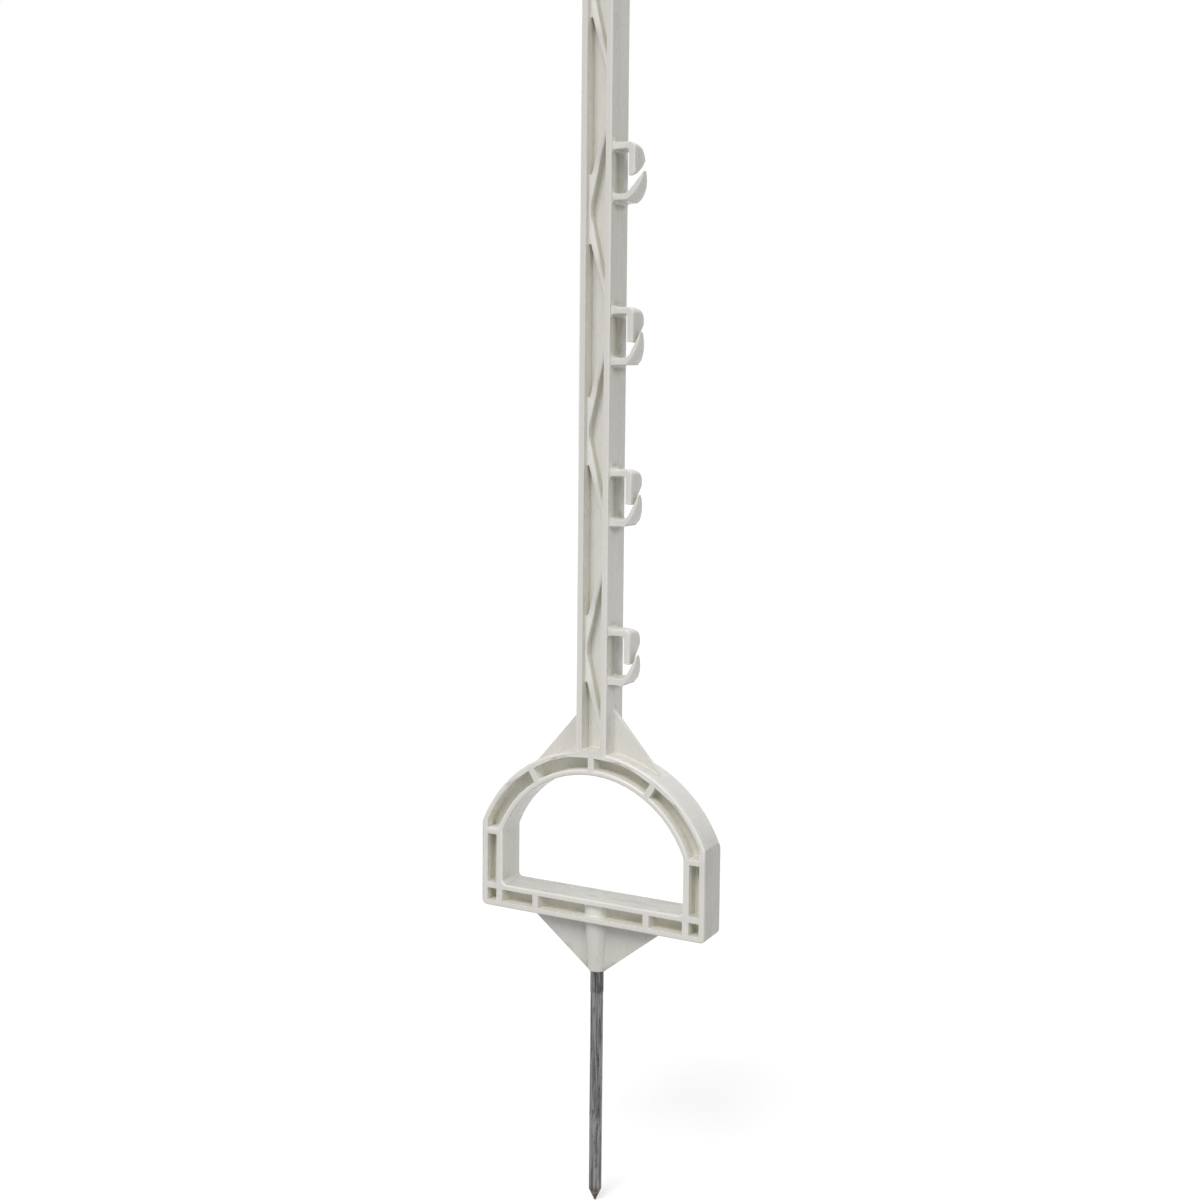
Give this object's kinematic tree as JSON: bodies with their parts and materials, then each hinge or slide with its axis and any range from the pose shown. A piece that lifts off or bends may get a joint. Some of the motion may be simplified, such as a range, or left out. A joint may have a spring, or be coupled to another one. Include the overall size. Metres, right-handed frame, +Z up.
{
  "type": "step-in fence post",
  "caption": "Moulded step-in fence post with zigzag-ribbed channels, side lugs for wire or tape, a foot stirrup and a steel ground spike.",
  "frame": {"origin": "on the axis of the ground spike, at the shoulder where its fluted part ends and its plain shank begins", "axes": "+Z up along the spike and the shaft; +X across the shaft, towards the lugs; +Y from the front face to the back face"},
  "size_m": [0.156, 0.0226, 1.05],
  "materials": {
    "moulding": "satin off-white",
    "spike": "dull drawn steel"
  },
  "bodies": {
    "root": {"post_moulding": "moulding", "ground_spike": "spike"}
  },
  "joints": []
}
